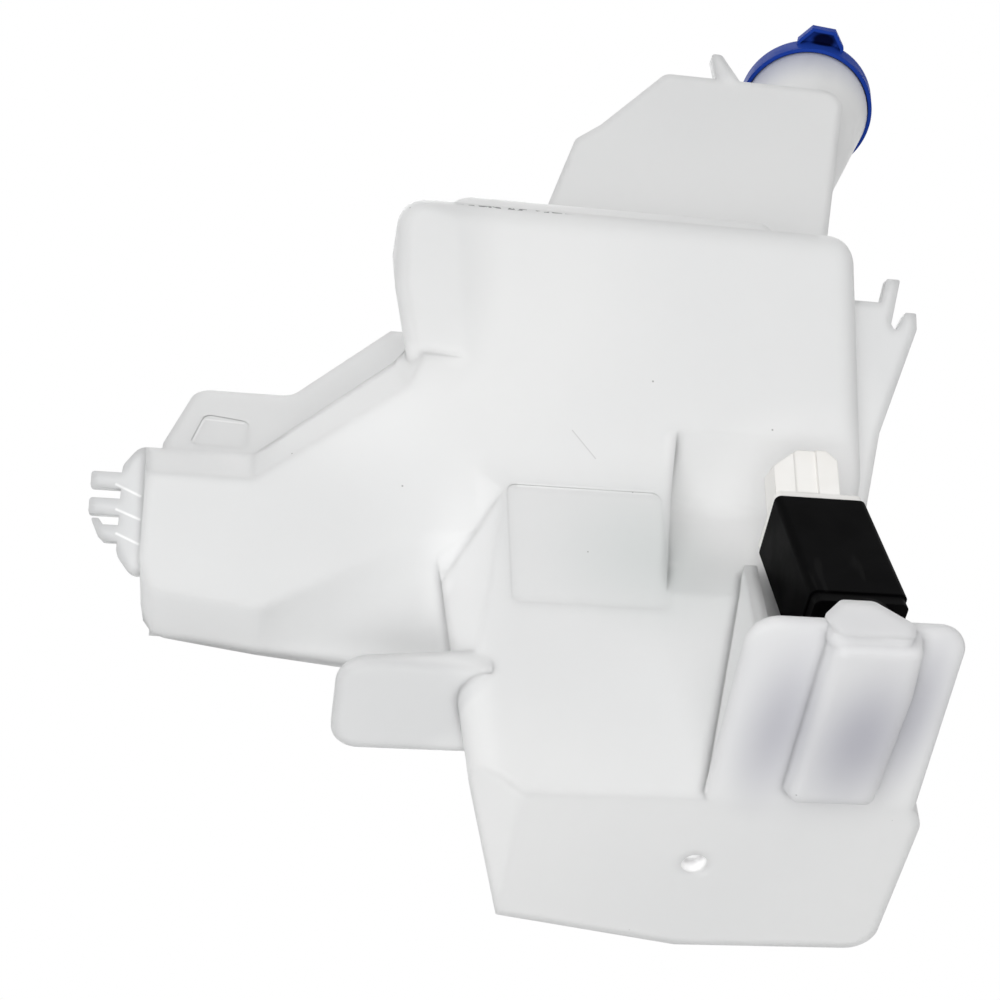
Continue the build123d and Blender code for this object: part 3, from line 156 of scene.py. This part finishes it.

# Painted light and shade on the plastic, with the pump's and cap's dark shapes painted as if seen through
# it: what it is, centre, size, softness, strength, colour
PAINTED_LIGHT_AND_SHADE_PATCHES = (
    ("lower face", (-50.0, 12.0, 86.0), (44.0, 60.0, 36.0), 1.0, 0.55, PAINTED_DEEP_SHADE),
    ("beside the motor", (12.0, 4.0, 105.0), (52.0, 44.0, 44.0), 0.9, 1.0, PAINTED_LIGHT),
    ("facet beside the wing", (-110.0, 20.0, 80.0), (16.0, 40.0, 60.0), 1.0, 0.4, PAINTED_LIGHT),
    ("lug under the wing", (-132.0, 42.0, 41.0), (34.0, 30.0, 8.0), 0.4, 0.55, PAINTED_GREY_SHADE),
    ("wing's face", (-180.0, 25.0, 85.0), (75.0, 70.0, 60.0), 0.6, 0.55, PAINTED_PALE_SHADE),
    ("upper left bevel", (-120.0, -40.0, 165.0), (24.0, 50.0, 50.0), 0.7, 0.55, PAINTED_PALE_SHADE),
    ("hooks", (-222.0, 20.0, 105.0), (15.0, 60.0, 60.0), 0.5, 0.8, PAINTED_GREY_SHADE),
    ("side fork", (56.0, -22.0, 180.0), (30.0, 60.0, 70.0), 0.4, 0.5, PAINTED_GREY_SHADE),
    ("finger on the tower", (2.0, -62.0, 322.0), (9.0, 12.0, 14.0), 0.5, 0.5, PAINTED_GREY_SHADE),
    ("shelf", (-12.0, 2.0, 6.0), (52.0, 56.0, 18.0), 0.5, 0.4, PAINTED_COOL_SHADE),
    ("pump behind the keel", (-5.0, 9.0, 2.0), (20.0, 36.0, 14.0), 0.95, 0.72, PUMP_SHADE),
    ("pump left of the keel", (-27.0, 12.0, 8.0), (15.0, 42.0, 12.0), 1.0, 0.55, PUMP_SHADE),
    ("pump right of the keel", (12.0, 6.0, 8.0), (10.0, 42.0, 12.0), 1.0, 0.5, PUMP_SHADE),
    ("neck below the cap", (59.0, -32.0, 362.0), (95.0, 95.0, 36.0), 1.0, 1.0, CAP_SHADE),
)
# Thin lines on the plastic, painted light along creases, edges and hook ribs, and one real scratch: what it
# is, start, end, half width, strength, colour
PAINTED_LIGHT_LINES_AND_SCRATCH = (
    ("foot of the facet", (-115.5, 27.0, 82.0), (-112.0, 46.0, 75.0), 5.0, 0.6, PAINTED_LIGHT),
    ("pocket's left edge", (-40.5, -6.5, 123.0), (-42.5, 16.0, 88.0), 4.0, 0.5, PAINTED_LIGHT),
    ("crease above the wing", (-128.0, -18.7, 146.0), (-112.6, -21.3, 140.5), 5.0, 0.3, PAINTED_LIGHT),
    ("upper hook's rib", (-219.1, 19.1, 114.1), (-211.4, 21.3, 111.5), 0.7, 0.8, PAINTED_LIGHT),
    ("middle hook's rib", (-218.5, 24.4, 107.9), (-211.1, 26.2, 105.7), 0.7, 0.8, PAINTED_LIGHT),
    ("lower hook's rib", (-217.9, 29.4, 101.9), (-211.0, 31.3, 99.6), 0.7, 0.8, PAINTED_LIGHT),
    ("scratch", (-74.4, -7.1, 123.6), (-66.6, -1.3, 116.7), 0.35, 0.35, SCRATCH),
)
# Painted glows on short steps, standing in for light shining through them: what it is, start, end, half
# width, strength
PAINTED_GLOWS = (
    ("panel's upper step", (-92.0, 5.1, 108.1), (-48.0, 5.0, 108.1), 1.0, 0.12),
    ("wing recess, upper step", (-193.0, 11.4, 143.4), (-180.5, 11.4, 142.3), 0.8, 0.12),
    ("wing recess, left step", (-196.5, 11.4, 129.5), (-193.5, 11.4, 142.5), 0.8, 0.12),
)
CLOUDS_A_METRE = 9.0
SHEEN_A_METRE = 25.0
RIPPLES_A_METRE = 60.0
RIPPLE_HEIGHT = 0.0012
SPECKS_A_METRE = 170.0
CRUMBS_A_METRE = 420.0
DIRTY_PATCH = ((-47.0, 10.0, 96.0), (16.0, 30.0, 34.0))
SPECK_RIM = (0.045, 0.075)
CLEAN_LIMIT = 0.94
DIRTY_LIMIT = 0.6
SPECK_STRENGTH = 0.6
TOP_EDGE = ((-112.0, -53.8, 187.0), (10.0, -54.0, 185.5))
TOP_EDGE_WIDTH = 6.0
# Dark bits on the top edge: partly dirt, partly painted shade in the edge's gap
TOP_EDGE_DIRT_AND_SHADE = ((-94.0, -54.0, 185.7), (21.0, 6.0, 1.0))
DIRT_AND_SHADE_STRENGTH = 0.75
# The dimple gets painted light: white colour and a faint painted glow
DIMPLE = ((-39.0, 70.0, 10.5), (6.5, 7.0, 4.0))
DIMPLE_GLOW = 0.14
TANK_ROUNDING = 5.0
TANK_GLOSS = 0.35


def specks(f):
    """Where small dark specks are, more of them in the dirty patch."""
    cells = f.add("ShaderNodeTexVoronoi", {"Vector": f.place, "Scale": SPECKS_A_METRE, "Randomness": 1.0})
    speck = f.stretch(cells.outputs["Distance"], *SPECK_RIM, SPECK_STRENGTH, 0.0)
    chance = f.add("ShaderNodeSeparateColor", {0: cells.outputs["Color"]}).outputs[0]
    dirty = f.spot(*DIRTY_PATCH, soft=0.7)
    limit = f.stretch(dirty, 0.0, 1.0, CLEAN_LIMIT, DIRTY_LIMIT)
    return f.calculate("MULTIPLY", speck, f.calculate("GREATER_THAN", chance, limit))


def tank_finish():
    """Natural translucent plastic, with painted light and shade on it: the pump's dark shape as a blurred
    painted shade, lighter and darker painted patches and lines, and painted glows.
    """
    f = Finish("natural tank plastic")
    clouds = f.stretch(f.noise(CLOUDS_A_METRE, 1.0), 0.35, 0.7)
    colour = f.blend(clouds, PLASTIC_DARK, PLASTIC_LIGHT)
    # Painted light and shade patches, the pump's blurred painted shade among them
    for _, centre, size, soft, strength, tint in PAINTED_LIGHT_AND_SHADE_PATCHES:
        colour = f.blend(f.spot(centre, size, soft, strength), colour, tint)
    # Painted light along creases, edges and hook ribs, and one real scratch
    for _, start, end, width, strength, tint in PAINTED_LIGHT_LINES_AND_SCRATCH:
        colour = f.blend(f.line(start, end, width, strength), colour, tint)
    colour = f.blend(specks(f), colour, SPECK)
    # Dark bits along the top edge: partly dirt, partly painted shade in the edge's gap
    crumbs = f.stretch(f.noise(CRUMBS_A_METRE, 2.0), 0.49, 0.52)
    dirt_and_shade = f.calculate("MULTIPLY", crumbs, f.spot(*TOP_EDGE_DIRT_AND_SHADE, 0.4, DIRT_AND_SHADE_STRENGTH))
    colour = f.blend(dirt_and_shade, colour, DIRT_AND_PAINTED_SHADE)
    # Painted light in the dimple: white colour and a faint painted glow
    dimple = f.spot(*DIMPLE, soft=0.3)
    colour = f.blend(dimple, colour, PAINTED_LIGHT)
    glow = f.calculate("MULTIPLY", dimple, DIMPLE_GLOW)
    # Painted glows on the short steps, added to the dimple's
    for _, start, end, width, strength in PAINTED_GLOWS:
        glow = f.calculate("ADD", f.line(start, end, width, strength), glow)
    top_edge = f.line(*TOP_EDGE, TOP_EDGE_WIDTH)
    ripples = f.noise(RIPPLES_A_METRE, 1.0)
    return f.finish(
        Base_Color=colour,
        Roughness=f.stretch(f.noise(SHEEN_A_METRE, 1.0), 0.3, 0.7, 0.36, 0.5),
        Normal=f.bump(ripples, 0.12, RIPPLE_HEIGHT, f.rounded(TANK_ROUNDING)),
        Subsurface_Weight=0.3,
        Subsurface_Radius=(1.0, 1.0, 1.0),
        Subsurface_Scale=0.01,
        IOR=1.5,
        Specular_IOR_Level=f.stretch(top_edge, 0.0, 0.6, TANK_GLOSS, 0.0),
        Emission_Color=(1.0, 1.0, 1.0, 1.0),
        Emission_Strength=glow,
    )


# The other pieces' finishes

WEAR_DIRECTION = (1.0, 1.0, 1.0 / 6.0)
DRIFT_A_METRE = 40.0
DULLING_A_METRE = 70.0
SCUFFS_A_METRE = 160.0
GRAIN_HEIGHT = 0.0001
CAP_WEAR = (0.05, 0.1, 0.4)
# Painted shade inside the cap tab's recess: its place and size
CAP_TAB_RECESS = ((57.5, -61.8, 360.3), (6.5, 4.0, 4.0))
CAP_TAB_SHADE = (0.002, 0.004, 0.03)
ALONG_SHAFT = (0.05, 0.05, 1.0)
ALL_WAYS = (1.0, 1.0, 1.0)
MARKS_A_METRE = 2600.0
MARK_HEIGHT = 0.00005
TARNISH_A_METRE = 90.0
TURNS_SCALE = 600.0
WIRE_HEIGHT = 0.0003


def moulded_finish(name, dark, light, rough, grain, radius, gloss=0.4, wear=None, recess_shade=None):
    """Moulded plastic or rubber: a slight colour drift, fine grain, scuffs where it is worn, and a painted
    shade in a recess where one is given.
    """
    f = Finish(name)
    colour = f.blend(f.stretch(f.noise(DRIFT_A_METRE, 3.0), 0.3, 0.7), dark, light)
    if wear:
        strength, worn = wear
        scuffs = f.noise(SCUFFS_A_METRE, 2.0, f.scaled(WEAR_DIRECTION), 0.6)
        colour = f.blend(f.stretch(scuffs, 0.66, 0.72, 0.0, strength), colour, worn)
    # Painted shade darkening the recess
    if recess_shade:
        colour = f.blend(f.spot(*recess_shade, soft=0.4), colour, CAP_TAB_SHADE)
    return f.finish(
        Base_Color=colour,
        Roughness=f.stretch(f.noise(DULLING_A_METRE, 3.0), 0.3, 0.7, rough - 0.06, rough + 0.07),
        Normal=f.bump(f.noise(grain, 2.0), 0.18, GRAIN_HEIGHT, f.rounded(radius)),
        IOR=1.5,
        Specular_IOR_Level=gloss,
    )


def metal_finish(name, dark, light, rough, direction=ALONG_SHAFT):
    """Metal with faint marks that run one way."""
    f = Finish(name)
    marks = f.noise(MARKS_A_METRE, 2.0, f.scaled(direction))
    return f.finish(
        Base_Color=f.blend(f.stretch(marks, 0.3, 0.7), dark, light),
        Roughness=f.stretch(f.noise(TARNISH_A_METRE, 3.0), 0.3, 0.7, rough - 0.05, rough + 0.08),
        Normal=f.bump(marks, 0.15, MARK_HEIGHT),
        Metallic=1.0,
    )


def winding_finish():
    """Enamelled wire laid in turns."""
    f = Finish("enamelled winding wire")
    inputs = {"Vector": f.place, "Scale": TURNS_SCALE, "Distortion": 1.5, "Detail": 1.0}
    turns = f.add("ShaderNodeTexWave", inputs, bands_direction="Z").outputs["Fac"]
    return f.finish(
        Base_Color=f.blend(turns, (0.32, 0.1, 0.03), (0.72, 0.32, 0.12)),
        Roughness=0.32,
        Normal=f.bump(turns, 0.6, WIRE_HEIGHT),
        Metallic=0.9,
    )


black_case = moulded_finish(
    "black case plastic",
    (0.001, 0.001, 0.0011),
    (0.002, 0.002, 0.0022),
    rough=0.5,
    grain=1400.0,
    radius=1.0,
    gloss=0.02,
    wear=(0.2, (0.02, 0.02, 0.02)),
)
black_pump = moulded_finish(
    "black pump plastic",
    (0.0015, 0.0015, 0.0016),
    (0.003, 0.003, 0.0032),
    rough=0.46,
    grain=1100.0,
    radius=0.7,
    gloss=0.03,
)
ivory = moulded_finish(
    "ivory connector plastic",
    (0.82, 0.805, 0.775),
    (0.88, 0.87, 0.85),
    rough=0.4,
    grain=800.0,
    radius=0.7,
)
blue_cap = moulded_finish(
    "dark blue cap plastic",
    (0.011, 0.04, 0.27),
    (0.014, 0.05, 0.32),
    rough=0.5,
    grain=900.0,
    radius=0.5,
    gloss=0.02,
    wear=(0.15, CAP_WEAR),
    recess_shade=CAP_TAB_RECESS,
)
black_rubber = moulded_finish(
    "black rubber",
    (0.012, 0.012, 0.012),
    (0.03, 0.03, 0.03),
    rough=0.72,
    grain=500.0,
    radius=0.5,
)
grey_plastic = moulded_finish(
    "grey impeller plastic",
    (0.36, 0.36, 0.36),
    (0.45, 0.45, 0.45),
    rough=0.42,
    grain=900.0,
    radius=0.3,
)
dark_holder = moulded_finish(
    "dark holder plastic",
    (0.03, 0.03, 0.032),
    (0.06, 0.06, 0.062),
    rough=0.5,
    grain=900.0,
    radius=0.3,
)
pale_strainer = moulded_finish(
    "pale strainer plastic",
    (0.6, 0.6, 0.57),
    (0.7, 0.7, 0.67),
    rough=0.45,
    grain=900.0,
    radius=0.2,
)
carbon = moulded_finish(
    "brush carbon",
    (0.02, 0.02, 0.021),
    (0.05, 0.05, 0.052),
    rough=0.62,
    grain=2400.0,
    radius=0.1,
)
ferrite = moulded_finish(
    "magnet ferrite",
    (0.035, 0.036, 0.04),
    (0.07, 0.071, 0.076),
    rough=0.55,
    grain=1800.0,
    radius=0.2,
)
plated_steel = metal_finish("zinc plated steel", (0.5, 0.5, 0.5), (0.68, 0.68, 0.69), 0.3)
stacked_steel = metal_finish("stacked core steel", (0.16, 0.16, 0.165), (0.4, 0.4, 0.41), 0.42)
ground_steel = metal_finish("ground shaft steel", (0.55, 0.55, 0.57), (0.72, 0.72, 0.74), 0.2)
tinned_brass = metal_finish("tinned brass", (0.66, 0.62, 0.52), (0.8, 0.77, 0.68), 0.28)
spring_brass = metal_finish("spring brass", (0.6, 0.43, 0.16), (0.78, 0.6, 0.28), 0.26)
bronze = metal_finish("sintered bronze", (0.4, 0.25, 0.1), (0.58, 0.4, 0.2), 0.5, ALL_WAYS)
copper = metal_finish("commutator copper", (0.58, 0.27, 0.13), (0.76, 0.42, 0.24), 0.3)

FINISHES = {
    "reservoir_shell": tank_finish(),
    "filler_cap": blue_cap,
    "cap_seal": black_rubber,
    "motor_case": black_case,
    "connector_plate": ivory,
    "terminal_left": tinned_brass,
    "terminal_right": tinned_brass,
    "motor_can": plated_steel,
    "magnet_left": ferrite,
    "magnet_right": ferrite,
    "armature_core": stacked_steel,
    "armature_winding": winding_finish(),
    "commutator": copper,
    "motor_shaft": ground_steel,
    "lower_bearing": bronze,
    "upper_bearing": bronze,
    "brush_left": carbon,
    "brush_right": carbon,
    "brush_arm_left": spring_brass,
    "brush_arm_right": spring_brass,
    "brush_holder": dark_holder,
    "pump_body": black_pump,
    "shaft_seal": black_rubber,
    "impeller": grey_plastic,
    "pump_cover": black_pump,
    "inlet_grommet": black_rubber,
    "inlet_strainer": pale_strainer,
}

for name, finish in FINISHES.items():
    for slot in nodes[name].material_slots:
        slot.material = finish


# Studio

FLOOR_SIZE = 4.0
FLOOR_GAP = 0.5
FLOOR_COLOUR = (0.86, 0.86, 0.86, 1.0)
FULL_WHITE = (1.0, 1.0, 1.0, 1.0)
WORLD_LIGHT = 0.5


def studio_floor():
    """Pale floor under the keel. It shows from above only, as the camera looks up from below it."""
    lowest = CAD_BOX[0][2] - FLOOR_GAP * MM
    bpy.ops.mesh.primitive_plane_add(size=FLOOR_SIZE, location=(0.0, 0.0, lowest))
    floor = bpy.context.object
    floor.name = "studio_floor"
    floor.visible_shadow = False
    floor.visible_diffuse = False
    floor.visible_glossy = False
    f = Finish("pale floor")
    pale = f.add("ShaderNodeBsdfDiffuse", {"Color": FLOOR_COLOUR, "Roughness": 0.6})
    clear = f.add("ShaderNodeBsdfTransparent")
    under = f.add("ShaderNodeNewGeometry").outputs["Backfacing"]
    mix = f.add("ShaderNodeMixShader", {0: under, 1: pale.outputs[0], 2: clear.outputs[0]})
    f.tree.links.new(mix.outputs[0], f.output.inputs[0])
    floor.data.materials.append(f.material)


def studio_world():
    """White for the camera, in reflections and through clear pieces, and plain soft light for surfaces."""
    world = bpy.data.worlds.new("studio")
    scene.world = world
    world.use_nodes = True
    tree = world.node_tree
    tree.nodes.clear()
    output = tree.nodes.new("ShaderNodeOutputWorld")
    seen = tree.nodes.new("ShaderNodeBackground")
    seen.inputs[0].default_value = FULL_WHITE
    soft = tree.nodes.new("ShaderNodeBackground")
    soft.inputs[0].default_value = FULL_WHITE
    soft.inputs[1].default_value = WORLD_LIGHT
    paths = tree.nodes.new("ShaderNodeLightPath")
    share = paths.outputs["Is Camera Ray"]
    for kind in ("Is Transmission Ray", "Is Glossy Ray"):
        either = tree.nodes.new("ShaderNodeMath")
        either.operation = "MAXIMUM"
        tree.links.new(share, either.inputs[0])
        tree.links.new(paths.outputs[kind], either.inputs[1])
        share = either.outputs[0]
    mix = tree.nodes.new("ShaderNodeMixShader")
    tree.links.new(share, mix.inputs[0])
    tree.links.new(soft.outputs[0], mix.inputs[1])
    tree.links.new(seen.outputs[0], mix.inputs[2])
    tree.links.new(mix.outputs[0], output.inputs[0])


def softbox(name, place, target, size, power):
    """Square soft lamp aimed at a point."""
    lamp = bpy.data.lights.new(name, "AREA")
    lamp.shape = "SQUARE"
    lamp.size = size
    lamp.energy = power
    holder = bpy.data.objects.new(name, lamp)
    scene.collection.objects.link(holder)
    holder.location = place
    aim = Vector(target) - Vector(place)
    holder.rotation_euler = aim.to_track_quat("-Z", "Y").to_euler()


# The photograph was taken from below and in front, with a long lens
LENS = 61.2
SENSOR = 36.0
CAMERA_PLACE = (-0.1843, -0.3051, -0.3331)
CAMERA_RIGHT = (0.985, -0.143, -0.092)
CAMERA_UP = (-0.062, -0.805, 0.590)


def photo_camera():
    """Camera at the photograph's viewpoint. Gives the directions to its right, up and back."""
    data = bpy.data.cameras.new("camera")
    data.lens = LENS
    data.sensor_width = SENSOR
    data.clip_start = 0.01
    data.clip_end = 50.0
    holder = bpy.data.objects.new("camera", data)
    scene.collection.objects.link(holder)
    right = Vector(CAMERA_RIGHT).normalized()
    up = Vector(CAMERA_UP)
    up = (up - right * up.dot(right)).normalized()
    back = right.cross(up)
    turn = Matrix((right, up, back)).transposed()
    holder.matrix_world = Matrix.Translation(CAMERA_PLACE) @ turn.to_4x4()
    scene.camera = holder
    return right, up, back


right, up, back = photo_camera()
studio_floor()
studio_world()
middle = (Vector(CAD_BOX[0]) + Vector(CAD_BOX[1])) / 2
front = middle + back * 1.5 - right * 0.3 + up * 0.05
softbox("front", front, middle, size=1.5, power=17.9)
softbox("top", middle + Vector((0.1, 0.1, 1.4)), middle, size=1.2, power=10.0)
softbox("rear", middle + Vector((0.3, 1.5, 0.5)), middle, size=1.2, power=8.0)

scene.view_settings.view_transform = "Standard"
